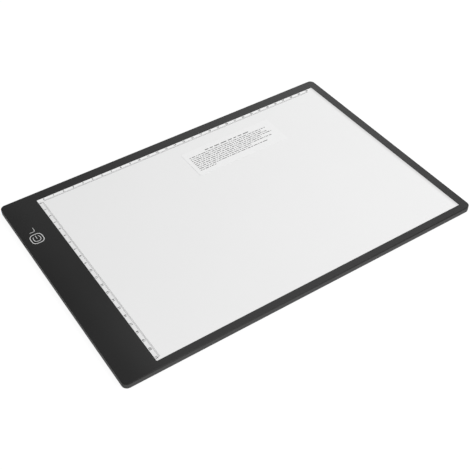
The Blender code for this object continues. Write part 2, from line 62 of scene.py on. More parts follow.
cameraSettings = {
    "lens": 67.034,  # in millimetres, as the sensor is
    "sensor": 36.0,
    "shift": 0.0311,
    "nearest": 0.01,  # clipping distances, in metres
    "farthest": 20.0,
    "place": (-175.01 * mm, -371.66 * mm, 536.61 * mm),  # from the window's front left corner
    "right": (0.83771, -0.54592, -0.0144),
    "down": (-0.39245, -0.58345, -0.71104),
    "forward": (0.37977, 0.60129, -0.70301),
}


def makeCamera():
    data = bpy.data.cameras.new("camera")
    data.lens = cameraSettings["lens"]
    data.sensor_width = cameraSettings["sensor"]
    data.shift_x = cameraSettings["shift"]
    data.clip_start = cameraSettings["nearest"]
    data.clip_end = cameraSettings["farthest"]
    camera = bpy.data.objects.new("camera", data)
    right, down, forward = (Vector(cameraSettings[key]) for key in ("right", "down", "forward"))
    turn = Matrix((right, -down, -forward)).transposed().to_4x4()
    place = Vector((windowLeft, windowFront, faceZ)) + Vector(cameraSettings["place"])
    camera.matrix_world = Matrix.Translation(place) @ turn
    bpy.context.collection.objects.link(camera)
    bpy.context.scene.camera = camera


makeCamera()
print("camera set")


# Node helpers. Textures use object coordinates in metres, so sizes below are real ones.

noiseSpan = (0.3, 0.7)  # most of a noise's values lie between these
mixInputs = (6, 7)  # the Mix node's two colour inputs
mixOutput = 2  # and its colour output


def colour(value):
    # A grey level or a tuple becomes a colour, and a node's output stays as it is
    if isinstance(value, (int, float)):
        return (value, value, value, 1.0)
    if isinstance(value, tuple):
        return (*value, 1.0)
    return value


class Finish:
    def __init__(self, name, shader):
        self.material = bpy.data.materials.new(name)
        self.material.use_nodes = True
        self.tree = self.material.node_tree
        self.shader = self.tree.nodes["Principled BSDF"]
        self.place = self.node("ShaderNodeTexCoord").outputs["Object"]
        for socket, value in shader.items():
            self.shader.inputs[socket].default_value = value

    def node(self, kind, **settings):
        made = self.tree.nodes.new(kind)
        for key, value in settings.items():
            setattr(made, key, value)
        return made

    def feed(self, socket, value):
        if isinstance(value, bpy.types.NodeSocket):
            self.tree.links.new(value, socket)
        else:
            socket.default_value = value

    def set(self, socket, value):
        self.feed(self.shader.inputs[socket], value)

    def maths(self, operation, first, second):
        made = self.node("ShaderNodeMath", operation=operation)
        for socket, value in zip(made.inputs, (first, second)):
            self.feed(socket, value)
        return made.outputs["Value"]

    def stretched(self, stretch):
        made = self.node("ShaderNodeVectorMath", operation="MULTIPLY")
        self.feed(made.inputs[0], self.place)
        made.inputs[1].default_value = stretch
        return made.outputs["Vector"]

    def noise(self, size, detail, stretch=None):
        made = self.node("ShaderNodeTexNoise")
        self.feed(made.inputs["Vector"], self.stretched(stretch) if stretch else self.place)
        made.inputs["Scale"].default_value = 1 / size
        made.inputs["Detail"].default_value = detail
        return made.outputs["Fac"]

    def cells(self, size):
        made = self.node("ShaderNodeTexVoronoi")
        self.feed(made.inputs["Vector"], self.place)
        made.inputs["Scale"].default_value = 1 / size
        return made.outputs["Distance"]

    def wave(self, direction, size):
        made = self.node("ShaderNodeTexWave", bands_direction=direction)
        self.feed(made.inputs["Vector"], self.place)
        made.inputs["Scale"].default_value = 1 / size
        return made.outputs["Fac"]

    def axis(self, letter):
        made = self.node("ShaderNodeSeparateXYZ")
        self.feed(made.inputs["Vector"], self.place)
        return made.outputs[letter]

    def spread(self, value, low, high, start, end):
        # start where the value is at low, end where it is at high, and a soft change between them
        made = self.node("ShaderNodeMapRange", interpolation_type="SMOOTHSTEP")
        for socket, number in zip(made.inputs, (value, low, high, start, end)):
            self.feed(socket, number)
        return made.outputs["Result"]

    def blend(self, factor, first, second):
        made = self.node("ShaderNodeMix", data_type="RGBA")
        self.feed(made.inputs["Factor"], factor)
        for place, value in zip(mixInputs, (first, second)):
            self.feed(made.inputs[place], colour(value))
        return made.outputs[mixOutput]

    def roughen(self, noise, low, high):
        self.set("Roughness", self.spread(noise, *noiseSpan, low, high))

    def bump(self, height, strength, depth):
        made = self.node("ShaderNodeBump")
        made.inputs["Strength"].default_value = strength
        made.inputs["Distance"].default_value = depth
        self.feed(made.inputs["Height"], height)
        self.set("Normal", made.outputs["Normal"])


# In a finish's settings, shader holds what is the same all over it, and a noise is its size,
# its detail and how it is stretched. Tones and rough are the two ends of what the noise
# changes, and bump is a strength and a depth.

def grained(name, settings, tones="tones"):
    # A finish with one noise for its tone, its roughness and its bump
    finish = Finish(name, settings["shader"])
    grain = finish.noise(*settings["grain"])
    finish.set("Base Color", finish.blend(grain, *settings[tones]))
    finish.roughen(grain, *settings["rough"])
    finish.bump(grain, *settings["bump"])
    return finish.material


# The frame's satin black face: fine moulded grain, soft blotches in its gloss, a painted sheen
# along the front border and painted shade at the wide band's outer edge

faceSettings = {
    "shader": {"Specular IOR Level": 0.14},
    "blotch": (28 * mm, 3.0),
    "tones": (0.0050, 0.0070),
    "outerPaintedShade": 0.6,  # painted shade: how far the band's colour is painted down towards plain black at its outer edge
    "outerEnd": 8 * mm,  # that fade ends so far from the window
    "frontPaintedSheen": 0.016,  # painted sheen: how much paler the colour is painted along the front border
    "frontReach": 120 * mm,  # how far that painted sheen goes back from the window's front edge
    "bandShare": 0.3,  # the share of the lift on the wide band
    "bandEnd": -25 * mm,  # from the window's left edge: the band's share ends here
    "borderStart": 15 * mm,  # and the whole lift starts here
    "liftFull": 60 * mm,  # up to here it is whole, and it fades to the window's right edge
    "rough": (0.36, 0.40),
    "grain": (0.35 * mm, 2.0),
    "grainRough": 0.04,
    "bump": (0.5, 0.006 * mm),
}


def facePlastic():
    finish = Finish("face_plastic", faceSettings["shader"])
    blotches = finish.noise(*faceSettings["blotch"])
    grain = finish.noise(*faceSettings["grain"])
    dark, light = faceSettings["tones"]
    body = finish.blend(blotches, dark, light)
    x = finish.axis("X")
    y = finish.axis("Y")
    # painted shade: the wide band's colour darkens towards its outer edge
    outerEnd = windowLeft - faceSettings["outerEnd"]
    outer = finish.spread(x, frameLow.x, outerEnd, faceSettings["outerPaintedShade"], 0.0)
    body = finish.blend(outer, body, 0.0)
    # painted sheen: the colour is made paler along the front border, fading back from it and
    # towards the right
    frontEnd = windowFront + faceSettings["frontReach"]
    nearFront = finish.spread(y, windowFront, frontEnd, 1.0, 0.0)
    bandEnd = windowLeft + faceSettings["bandEnd"]
    borderStart = windowLeft + faceSettings["borderStart"]
    onBorder = finish.spread(x, bandEnd, borderStart, faceSettings["bandShare"], 1.0)
    leftwards = finish.spread(x, windowLeft + faceSettings["liftFull"], windowRight, 1.0, 0.0)
    lift = finish.maths("MULTIPLY", finish.maths("MULTIPLY", nearFront, onBorder), leftwards)
    finish.set("Base Color", finish.blend(lift, body, faceSettings["frontPaintedSheen"] + light))
    rough = finish.spread(blotches, *noiseSpan, *faceSettings["rough"])
    grainRough = finish.maths("MULTIPLY", grain, faceSettings["grainRough"])
    finish.set("Roughness", finish.maths("ADD", rough, grainRough))
    finish.bump(grain, *faceSettings["bump"])
    return finish.material


# The tray: a coarser spark-eroded texture in a lighter black than the face

traySettings = {
    "shader": {"Specular IOR Level": 0.05},
    "patch": (45 * mm, 2.0),
    "tones": (0.057, 0.068),
    "grain": (0.22 * mm, 4.0),
    "rough": (0.46, 0.58),
    "pit": 0.6 * mm,
    "pitShare": 0.5,  # how much the pits count in the bump, beside the grain
    "bump": (0.6, 0.015 * mm),
}


def trayPlastic():
    finish = Finish("tray_plastic", traySettings["shader"])
    patch = finish.noise(*traySettings["patch"])
    finish.set("Base Color", finish.blend(patch, *traySettings["tones"]))
    grain = finish.noise(*traySettings["grain"])
    finish.roughen(grain, *traySettings["rough"])
    pits = finish.maths("MULTIPLY", finish.cells(traySettings["pit"]), traySettings["pitShare"])
    finish.bump(finish.maths("ADD", grain, pits), *traySettings["bump"])
    return finish.material


# The opal window: a faint cloud in the sheet, a strip of another tone under each ruler, and a
# painted shadow of the frame along the right border

windowSettings = {
    "shader": {"Specular IOR Level": 0.15},
    "cloud": (70 * mm, 3.0),
    "tone": 0.804,
    "cloudTone": 0.008,  # how far the cloud goes below and above that tone
    "stripLeft": 2.9 * mm,  # widths of the strips under the left and the back ruler
    "stripBack": 2.4 * mm,
    "stripLeftTone": 0.761,
    "stripBackTone": 0.856,
    "stripBlur": 0.25 * mm,
    "paintedShadowRight": 4.5 * mm,
    "paintedShadowTone": 0.62,
    "grain": (0.5 * mm, 2.0),
    "rough": (0.42, 0.48),
    "bump": (0.3, 0.003 * mm),
}


def opalAcrylic():
    finish = Finish("opal_acrylic", windowSettings["shader"])
    tone = windowSettings["tone"]
    cloudTone = windowSettings["cloudTone"]
    cloud = finish.noise(*windowSettings["cloud"])
    body = finish.blend(cloud, tone - cloudTone, tone + cloudTone)
    x = finish.axis("X")
    y = finish.axis("Y")
    blur = windowSettings["stripBlur"]
    left = windowLeft + windowSettings["stripLeft"]
    back = windowBack - windowSettings["stripBack"]
    onLeft = finish.spread(x, left - blur, left + blur, 1.0, 0.0)
    onBack = finish.spread(y, back - blur, back + blur, 0.0, 1.0)
    body = finish.blend(onLeft, body, windowSettings["stripLeftTone"])
    body = finish.blend(onBack, body, windowSettings["stripBackTone"])
    # painted shadow: the sheet's colour darkens towards the right border, where the frame's shadow
    # falls
    nearRight = finish.spread(x, windowRight - windowSettings["paintedShadowRight"], windowRight, 0.0, 1.0)
    finish.set("Base Color", finish.blend(nearRight, body, windowSettings["paintedShadowTone"]))
    grain = finish.noise(*windowSettings["grain"])
    finish.roughen(grain, *windowSettings["rough"])
    finish.bump(grain, *windowSettings["bump"])
    return finish.material


# Printed inks, faintly speckled

inkSettings = {
    "shader": {"Specular IOR Level": 0.3},
    "rulerInk": 0.07,
    "keyInk": 0.68,
    "labelInk": 0.07,
    "speckle": (0.12 * mm, 2.0),
    "speckleShare": 0.1,  # how far the tone goes below and above the ink's, as a share of it
    "rough": (0.5, 0.6),
    "bump": (0.2, 0.002 * mm),
}


def printInk(name, tone):
    finish = Finish(name, inkSettings["shader"])
    speckle = finish.noise(*inkSettings["speckle"])
    change = inkSettings["speckleShare"]
    finish.set("Base Color", finish.blend(speckle, tone * (1 - change), tone * (1 + change)))
    finish.roughen(speckle, *inkSettings["rough"])
    finish.bump(speckle, *inkSettings["bump"])
    return finish.material


# The label's paper: soft patches in its tone, with fibres along it

paperSettings = {
    "shader": {"Specular IOR Level": 0.3},
    "tone": 0.83,
    "patch": (9 * mm, 2.0),
    "patchShare": 0.015,  # how far the patches go below and above the tone, as a share of it
    "fibre": (0.18 * mm, 4.0, (1.0, 2.5, 1.0)),
    "fibreTone": 0.9,  # the fibres' tone, as a share of the paper's
    "fibreShare": 0.12,  # how much of that tone shows
    "rough": (0.55, 0.66),
    "bump": (0.25, 0.006 * mm),
}


def labelPaper():
    finish = Finish("label_paper", paperSettings["shader"])
    tone = paperSettings["tone"]
    change = paperSettings["patchShare"]
    patch = finish.noise(*paperSettings["patch"])
    paper = finish.blend(patch, tone * (1 - change), tone * (1 + change))
    fibre = finish.noise(*paperSettings["fibre"])
    showing = finish.maths("MULTIPLY", fibre, paperSettings["fibreShare"])
    finish.set("Base Color", finish.blend(showing, paper, tone * paperSettings["fibreTone"]))
    finish.roughen(fibre, *paperSettings["rough"])
    finish.bump(fibre, *paperSettings["bump"])
    return finish.material


# The diffuser and the reflector: white film with a faint haze

filmSettings = {
    "shader": {"Specular IOR Level": 0.4},
    "grain": (1.2 * mm, 3.0),
    "tones": (0.84, 0.88),
    "rough": (0.5, 0.62),
    "bump": (0.2, 0.004 * mm),
}


def sheetFilm():
    return grained("white_film", filmSettings)


# The light guide: clear acrylic with matt printed dots

guideSettings = {
    "shader": {"Transmission Weight": 1.0, "IOR": 1.49},
    "patch": (40 * mm, 2.0),
    "tones": ((0.93, 0.97, 0.98), (0.96, 0.99, 1.0)),
    "dotPitch": 1.6 * mm,
    "dotRim": (0.22, 0.3),  # where a dot's rim starts and ends, as shares of the pitch
    "rough": (0.35, 0.03),  # on the dots, and between them
}


def clearAcrylic():
    finish = Finish("clear_acrylic", guideSettings["shader"])
    patch = finish.noise(*guideSettings["patch"])
    finish.set("Base Color", finish.blend(patch, *guideSettings["tones"]))
    dots = finish.cells(guideSettings["dotPitch"])
    rough = finish.spread(dots, *guideSettings["dotRim"], *guideSettings["rough"])
    finish.set("Roughness", rough)
    return finish.material


# The tapes: a creped film, white or black

tapeSettings = {
    "shader": {"Specular IOR Level": 0.35},
    "grain": (0.5 * mm, 4.0, (1.0, 1.0, 0.4)),
    "white": (0.76, 0.84),
    "black": (0.012, 0.028),
    "rough": (0.55, 0.75),
    "bump": (0.5, 0.02 * mm),
}


def tapeFilm(tones):
    return grained(tones + "_tape", tapeSettings, tones)


# The two boards: solder mask in a thin skin above and below, with the glass cloth's weave
# showing faintly, and the laminate's own tone between. The control board lies flat and shows
# the laminate at its sides. The LED board stands on edge and shows it on its faces.

boardSettings = {
    "shader": {"Specular IOR Level": 0.5, "Coat Weight": 0.3, "Coat Roughness": 0.2},
    "green": (0.012, 0.13, 0.045),  # the two masks, each with its laminate
    "greenCore": (0.42, 0.40, 0.24),
    "white": (0.80, 0.80, 0.76),
    "whiteCore": (0.74, 0.72, 0.60),
    "weave": 2.2 * mm,
    "weaveTone": 0.8,  # the weave's tone, as a share of the mask's
    "weaveShare": 0.25,  # how much of that tone shows
    "skin": 0.06 * mm,
    "patch": (3 * mm, 2.0),
    "rough": (0.3, 0.4),
    "bump": (0.15, 0.01 * mm),
}


def boardLaminate(kind, board):
    finish = Finish("board_" + kind, boardSettings["shader"])
    mask = boardSettings[kind]
    weave = finish.maths("ADD", *(finish.wave(way, boardSettings["weave"]) for way in "XY"))
    woven = tuple(channel * boardSettings["weaveTone"] for channel in mask)
    showing = finish.maths("MULTIPLY", weave, boardSettings["weaveShare"])
    face = finish.blend(showing, mask, woven)
    low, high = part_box(board)
    z = finish.axis("Z")
    aboveSkin = finish.maths("GREATER_THAN", z, low.z + boardSettings["skin"])
    belowSkin = finish.maths("LESS_THAN", z, high.z - boardSettings["skin"])
    inside = finish.maths("MULTIPLY", aboveSkin, belowSkin)
    finish.set("Base Color", finish.blend(inside, face, boardSettings[kind + "Core"]))
    finish.roughen(finish.noise(*boardSettings["patch"]), *boardSettings["rough"])
    finish.bump(weave, *boardSettings["bump"])
    return finish.material


# The LEDs, which all face +X: a cream phosphor pool within a white moulded rim

ledSettings = {
    "shader": {"Specular IOR Level": 0.5},
    "grain": (0.15 * mm, 3.0),
    "phosphor": ((0.80, 0.66, 0.22), (0.88, 0.76, 0.34)),
    "rim": (0.78, 0.84),
    "poolDepth": 0.36 * mm,  # the cream starts so far behind the rim
    "poolBlur": 0.06 * mm,
    "back": 0.5 * mm,  # and the body's back is white for so far
    "rough": (0.35, 0.5),
}


def ledBody():
    finish = Finish("led_body", ledSettings["shader"])
    grain = finish.noise(*ledSettings["grain"])
    cream = finish.blend(grain, *ledSettings["phosphor"])
    white = finish.blend(grain, *ledSettings["rim"])
    low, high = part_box("led_01")
    x = finish.axis("X")
    level = high.x - ledSettings["poolDepth"]
    belowRim = finish.spread(x, level, level + ledSettings["poolBlur"], 1.0, 0.0)
    beforeBack = finish.maths("GREATER_THAN", x, low.x + ledSettings["back"])
    pool = finish.maths("MULTIPLY", belowRim, beforeBack)
    finish.set("Base Color", finish.blend(pool, white, cream))
    finish.roughen(grain, *ledSettings["rough"])
    return finish.material


# The inlet's stamped shell, painted near black as shade, so that its mouth reads nearly black

steelSettings = {
    "shader": {"Metallic": 1.0},
    "grain": (0.4 * mm, 4.0, (0.15, 1.0, 1.0)),
    # painted shade: near-black tones stand in for the shade inside the socket's mouth
    "tones": ((0.045, 0.044, 0.043), (0.075, 0.074, 0.072)),
    "rough": (0.22, 0.38),
    "bump": (0.3, 0.004 * mm),
}


def stampedSteel():
    return grained("inlet_steel", steelSettings)


# The inlet's insulator: black nylon with flow marks along the socket

nylonSettings = {
    "shader": {"Specular IOR Level": 0.45},
    "grain": (0.6 * mm, 3.0, (0.3, 1.0, 1.0)),
    "tones": (0.012, 0.022),
    "rough": (0.4, 0.55),
    "bump": (0.3, 0.005 * mm),
}


def inletNylon():
    return grained("inlet_insulator", nylonSettings)


# The chips' bodies: fine matt epoxy

epoxySettings = {
    "shader": {"Specular IOR Level": 0.4},
    "grain": (0.09 * mm, 3.0),
    "tones": (0.010, 0.022),
    "rough": (0.5, 0.68),
    "bump": (0.5, 0.006 * mm),
}


def chipEpoxy():
    return grained("chip_epoxy", epoxySettings)


# Resistors and capacitors

ceramicSettings = {
    "shader": {"Specular IOR Level": 0.45},
    "grain": (0.2 * mm, 3.0),
    "resistor": ((0.012, 0.016, 0.04), (0.03, 0.035, 0.07)),
    "capacitor": ((0.34, 0.22, 0.12), (0.42, 0.29, 0.17)),
    "rough": (0.35, 0.5),
    "bump": (0.3, 0.005 * mm),
}


def smallCeramic(tones):
    return grained(tones + "_body", ceramicSettings, tones)


# The touch key's electrode: open black foam

foamSettings = {
    "shader": {"Specular IOR Level": 0.2, "Sheen Weight": 0.15},
    "pore": 0.35 * mm,
    "poreSpan": (0.2, 0.8),  # from a pore's middle to its wall, as shares of its size
    "tones": (0.03, 0.012),
    "rough": (0.75, 0.9),
    "bump": (0.8, 0.08 * mm),
}


def electrodeFoam():
    finish = Finish("electrode_foam", foamSettings["shader"])
    pores = finish.cells(foamSettings["pore"])
    finish.set("Base Color", finish.blend(pores, *foamSettings["tones"]))
    rough = finish.spread(pores, *foamSettings["poreSpan"], *foamSettings["rough"])
    finish.set("Roughness", rough)
    finish.bump(pores, *foamSettings["bump"])
    return finish.material


# The two leads' coats

wireSettings = {
    "shader": {"Specular IOR Level": 0.5},
    "grain": (1.5 * mm, 3.0),
    "red": ((0.42, 0.012, 0.010), (0.52, 0.022, 0.018)),
    "black": (0.010, 0.022),
    "rough": (0.32, 0.46),
    "bump": (0.2, 0.01 * mm),
}


def wireCoat(tones):
    return grained("wire_" + tones, wireSettings, tones)


# The feet: dusty rubber with a fine tooth

rubberSettings = {
    "shader": {"Specular IOR Level": 0.3},
    "dust": (0.8 * mm, 4.0),
    "tones": (0.016, 0.030),
    "rough": (0.68, 0.84),
    "tooth": (0.12 * mm, 2.0),
    "bump": (0.5, 0.02 * mm),
}


def footRubber():
    finish = Finish("foot_rubber", rubberSettings["shader"])
    dust = finish.noise(*rubberSettings["dust"])
    finish.set("Base Color", finish.blend(dust, *rubberSettings["tones"]))
    finish.roughen(dust, *rubberSettings["rough"])
    finish.bump(finish.noise(*rubberSettings["tooth"]), *rubberSettings["bump"])
    return finish.material


# Each material slot of the record with its finish
finishes = {
    "face_plastic": facePlastic(),
    "tray_plastic": trayPlastic(),
    "opal_acrylic": opalAcrylic(),
    "label_paper": labelPaper(),
    "white_film": sheetFilm(),
    "clear_acrylic": clearAcrylic(),
    "white_tape": tapeFilm("white"),
    "black_tape": tapeFilm("black"),
    "board_green": boardLaminate("green", "control_board"),
    "board_white": boardLaminate("white", "led_board"),
    "led_body": ledBody(),
    "inlet_steel": stampedSteel(),
    "inlet_insulator": inletNylon(),
    "chip_epoxy": chipEpoxy(),
    "resistor_body": smallCeramic("resistor"),
    "capacitor_body": smallCeramic("capacitor"),
    "electrode_foam": electrodeFoam(),
    "wire_red": wireCoat("red"),
    "wire_black": wireCoat("black"),
    "foot_rubber": footRubber(),
}


def dressNodes():
    slotOf = {part["node"]: part["material_slot"] for part in frame["record"]["subparts"]}
    for name, node in nodes.items():
        for place in node.material_slots:
            place.link = "OBJECT"
            place.material = finishes[slotOf[name]]


dressNodes()
print("CAD nodes dressed with", len(finishes), "finishes")


# Flat printed pieces: each is a thin closed solid that stands on the surface it is printed on

inkThickness = 0.02 * mm


def addRaised(bm, outline, z):
    # outline runs counter-clockwise as seen from above
    low = [bm.verts.new((x, y, z)) for x, y in outline]
    high = [bm.verts.new((x, y, z + inkThickness)) for x, y in outline]
    bm.faces.new(high)
    bm.faces.new(list(reversed(low)))
    for i in range(len(outline)):
        j = (i + 1) % len(outline)
        bm.faces.new((low[i], low[j], high[j], high[i]))


def addBar(bm, left, right, front, back, z):
    addRaised(bm, ((left, front), (right, front), (right, back), (left, back)), z)


def addStroke(bm, path, width, z):
    # A stroke of even width along a path, in one closed solid: each point of the path gives
    # a left and a right corner, low and high
    lows, highs = [], []
    for i, point in enumerate(path):
        before = path[max(i - 1, 0)]
        after = path[min(i + 1, len(path) - 1)]
        along = Vector((after[0] - before[0], after[1] - before[1])).normalized()
        across = Vector((-along.y, along.x)) * width / 2
        left = (point[0] + across.x, point[1] + across.y)
        right = (point[0] - across.x, point[1] - across.y)
        for row, height in ((lows, z), (highs, z + inkThickness)):
            row.append([bm.verts.new((*corner, height)) for corner in (left, right)])
    for i in range(len(path) - 1):
        (lowLeft, lowRight), (nextLowLeft, nextLowRight) = lows[i], lows[i + 1]
        (highLeft, highRight), (nextHighLeft, nextHighRight) = highs[i], highs[i + 1]
        bm.faces.new((highLeft, highRight, nextHighRight, nextHighLeft))
        bm.faces.new((lowLeft, nextLowLeft, nextLowRight, lowRight))
        bm.faces.new((lowLeft, highLeft, nextHighLeft, nextLowLeft))
        bm.faces.new((lowRight, nextLowRight, nextHighRight, highRight))
    bm.faces.new((lows[0][0], lows[0][1], highs[0][1], highs[0][0]))
    bm.faces.new((lows[-1][0], highs[-1][0], highs[-1][1], lows[-1][1]))


def finishPrint(name, bm, material):
    bmesh.ops.recalc_face_normals(bm, faces=bm.faces)
    mesh = bpy.data.meshes.new(name)
    bm.to_mesh(mesh)
    bm.free()
    mesh.materials.append(material)
    piece = bpy.data.objects.new(name, mesh)
    bpy.context.collection.objects.link(piece)
    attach(piece, "root")


# The two rulers on the window: millimetre ticks inwards of a number at every centimetre

rulerSettings = {
    "backFirst": 6.0 * mm,  # the back ruler's zero, from the window's left edge
    "backCount": 30,
    "leftFirst": 5.3 * mm,  # the left ruler's zero, from the window's back edge
    "leftCount": 21,
    "tickPitch": 1.0 * mm,
    "longEvery": 10,  # every tenth tick is long and has a number
    "midEvery": 5,
    "shortStart": 3.2 * mm,  # where the ticks start and end, from the window's edge
    "midStart": 3.0 * mm,
    "longStart": 2.8 * mm,
    "tickEnd": 4.8 * mm,
    "tickWidth": 0.285 * mm,
    "numberHeight": 2.05 * mm,
    "numberFar": 0.6 * mm,  # from the window's edge to the numbers
    "leftShift": 0.1 * mm,  # how far the numbers stand past their ticks
    "backShift": 0.45 * mm,
    "leftTurn": math.pi / 2,  # the left numbers read from front to back
    "numberSpacing": 1.12,
    "numberWeight": 0.036,  # how far the digits' outlines are thickened, as a share of their size
    "numberSteps": 4,  # in each curve of a digit; with more, the thickened 3 and 9 fill badly
    "numberMerge": 0.001 * mm,  # closer points of a digit's outline are joined
}


def tickStart(number):
    if number % rulerSettings["longEvery"] == 0:
        return rulerSettings["longStart"]
    return rulerSettings["midStart" if number % rulerSettings["midEvery"] == 0 else "shortStart"]


def makeTicks(ink):
    half = rulerSettings["tickWidth"] / 2
    end = rulerSettings["tickEnd"]
    pitch = rulerSettings["tickPitch"]
    bm = bmesh.new()
    for number in range(rulerSettings["leftCount"] * rulerSettings["longEvery"] + 1):
        y = windowBack - rulerSettings["leftFirst"] - number * pitch
        addBar(bm, windowLeft + tickStart(number), windowLeft + end, y - half, y + half, windowZ)
    finishPrint("ruler_ticks_left", bm, ink)
    bm = bmesh.new()
    for number in range(rulerSettings["backCount"] * rulerSettings["longEvery"] + 1):
        x = windowLeft + rulerSettings["backFirst"] + number * pitch
        addBar(bm, x - half, x + half, windowBack - end, windowBack - tickStart(number), windowZ)
    finishPrint("ruler_ticks_back", bm, ink)


def numberMesh(text):
    # The digits as a flat mesh, in the font's own size and place
    curve = bpy.data.curves.new("digits", "FONT")
    curve.body = text
    curve.offset = rulerSettings["numberWeight"]
    curve.resolution_u = rulerSettings["numberSteps"]
    curve.space_character = rulerSettings["numberSpacing"]
    holder = bpy.data.objects.new("digits", curve)
    bpy.context.collection.objects.link(holder)
    bpy.context.view_layer.update()
    drawn = holder.evaluated_get(bpy.context.evaluated_depsgraph_get())
    mesh = bpy.data.meshes.new_from_object(drawn)
    bpy.data.objects.remove(holder)
    bpy.data.curves.remove(curve)
    return mesh


def makeNumbers(name, count, placeOf, turn, ink):
    whole = bmesh.new()
    for number in range(count + 1):
        mesh = numberMesh(str(number))
        xs = [vertex.co.x for vertex in mesh.vertices]
        ys = [vertex.co.y for vertex in mesh.vertices]
        middle = Vector(((min(xs) + max(xs)) / 2, (min(ys) + max(ys)) / 2, 0))
        scale = rulerSettings["numberHeight"] / (max(ys) - min(ys))
        place = Matrix.Translation(placeOf(number)) @ Matrix.Rotation(turn, 4, "Z")
        mesh.transform(place @ Matrix.Scale(scale, 4) @ Matrix.Translation(-middle))
        whole.from_mesh(mesh)
        bpy.data.meshes.remove(mesh)
    bmesh.ops.remove_doubles(whole, verts=whole.verts, dist=rulerSettings["numberMerge"])
    faces = list(whole.faces)
    bmesh.ops.recalc_face_normals(whole, faces=faces)
    raised = bmesh.ops.extrude_face_region(whole, geom=faces, use_keep_orig=True)
    moved = [item for item in raised["geom"] if isinstance(item, bmesh.types.BMVert)]
    bmesh.ops.translate(whole, verts=moved, vec=(0, 0, inkThickness))
    finishPrint(name, whole, ink)


def makeRulers():
    ink = printInk("ruler_ink", inkSettings["rulerInk"])
    makeTicks(ink)
    across = rulerSettings["numberFar"] + rulerSettings["numberHeight"] / 2

    def along(number):
        # from the ruler's zero to a number's tick
        return number * rulerSettings["longEvery"] * rulerSettings["tickPitch"]

    def leftPlace(number):
        y = windowBack - rulerSettings["leftFirst"] - along(number) - rulerSettings["leftShift"]
        return Vector((windowLeft + across, y, windowZ))

    def backPlace(number):
        x = windowLeft + rulerSettings["backFirst"] + along(number) + rulerSettings["backShift"]
        return Vector((x, windowBack - across, windowZ))

    leftTurn = rulerSettings["leftTurn"]
    makeNumbers("ruler_numbers_left", rulerSettings["leftCount"], leftPlace, leftTurn, ink)
    makeNumbers("ruler_numbers_back", rulerSettings["backCount"], backPlace, 0.0, ink)


makeRulers()
print("rulers printed")


# The touch key's ring and power symbol, and the small hooked mark behind it

keySettings = {
    "x": -20.2 * mm,  # from the window's left edge
    "y": 172.9 * mm,  # from the window's front edge
    "ringWidth": 11.6 * mm,
    "ringLength": 12.3 * mm,
    "ringCorner": 4.2 * mm,
    "ringStroke": 0.62 * mm,
    "arcWidth": 6.3 * mm,  # the power symbol's open loop, along its stroke's middle
    "arcLength": 6.7 * mm,
    "arcCorner": 2.5 * mm,
    "arcOpening": 4,  # steps left out of each upper corner
    "cornerSteps": 10,
    "barLow": -0.2 * mm,  # from the key's middle
    "barHigh": 4.0 * mm,
    "symbolStroke": 0.48 * mm,
    "hookLeft": -23.1 * mm,  # the hook's places are from the window's left and front edges
    "hookRight": -18.0 * mm,
    "hookFront": 182.2 * mm,
    "hookBack": 187.4 * mm,
    "hookBend": 1.8 * mm,
    "hookSteps": 8,
    "hookStroke": 0.41 * mm,
}


def roundedPath(middleX, middleY, halfX, halfY, radius):
    # A rounded rectangle, counter-clockwise from its front right corner
    steps = keySettings["cornerSteps"]
    points = []
    for sideX, sideY, start in ((1, -1, -90), (1, 1, 0), (-1, 1, 90), (-1, -1, 180)):
        for step in range(steps + 1):
            angle = math.radians(start + 90 * step / steps)
            x = sideX * (halfX - radius) + radius * math.cos(angle)
            y = sideY * (halfY - radius) + radius * math.sin(angle)
            points.append((middleX + x, middleY + y))
    return points


def addRing(bm, outer, inner, z):
    count = len(outer)
    high = z + inkThickness
    rows = []
    for loop, height in ((outer, z), (outer, high), (inner, high), (inner, z)):
        rows.append([bm.verts.new((x, y, height)) for x, y in loop])
    for first, second in zip(rows, rows[1:] + rows[:1]):
        for i in range(count):
            j = (i + 1) % count
            bm.faces.new((first[i], first[j], second[j], second[i]))


def makeKeyRing(x, y, ink):
    halfX = keySettings["ringWidth"] / 2
    halfY = keySettings["ringLength"] / 2
    stroke = keySettings["ringStroke"]
    corner = keySettings["ringCorner"]
    bm = bmesh.new()
    outer = roundedPath(x, y, halfX, halfY, corner)
    inner = roundedPath(x, y, halfX - stroke, halfY - stroke, corner - stroke)
    addRing(bm, outer, inner, faceZ)
    finishPrint("key_ring", bm, ink)


def makePowerSymbol(x, y, ink):
    halfX = keySettings["arcWidth"] / 2
    halfY = keySettings["arcLength"] / 2
    half = keySettings["symbolStroke"] / 2
    opening = keySettings["arcOpening"]
    bm = bmesh.new()
    loop = roundedPath(x, y, halfX, halfY, keySettings["arcCorner"])
    middle = len(loop) // 2
    arc = loop[middle + opening:] + loop[:middle - opening]  # from the upper left corner round
    addStroke(bm, arc, keySettings["symbolStroke"], faceZ)
    addBar(bm, x - half, x + half, y + keySettings["barLow"], y + keySettings["barHigh"], faceZ)
    finishPrint("power_symbol", bm, ink)


def makeHookMark(ink):
    bend = keySettings["hookBend"]
    steps = keySettings["hookSteps"]
    right = windowLeft + keySettings["hookRight"]
    front = windowFront + keySettings["hookFront"]
    path = [(windowLeft + keySettings["hookLeft"], front)]
    for step in range(steps + 1):
        angle = math.radians(-90 + 90 * step / steps)
        path.append((right - bend + bend * math.cos(angle), front + bend + bend * math.sin(angle)))
    path.append((right, windowFront + keySettings["hookBack"]))
    bm = bmesh.new()
    addStroke(bm, path, keySettings["hookStroke"], faceZ)
    finishPrint("hook_mark", bm, ink)


def makeKeyPrint():
    ink = printInk("key_ink", inkSettings["keyInk"])
    x = windowLeft + keySettings["x"]
    y = windowFront + keySettings["y"]
    makeKeyRing(x, y, ink)
    makePowerSymbol(x, y, ink)
    makeHookMark(ink)


makeKeyPrint()
print("touch key printed")


# The label's print, as rows of plain dashes in place of words

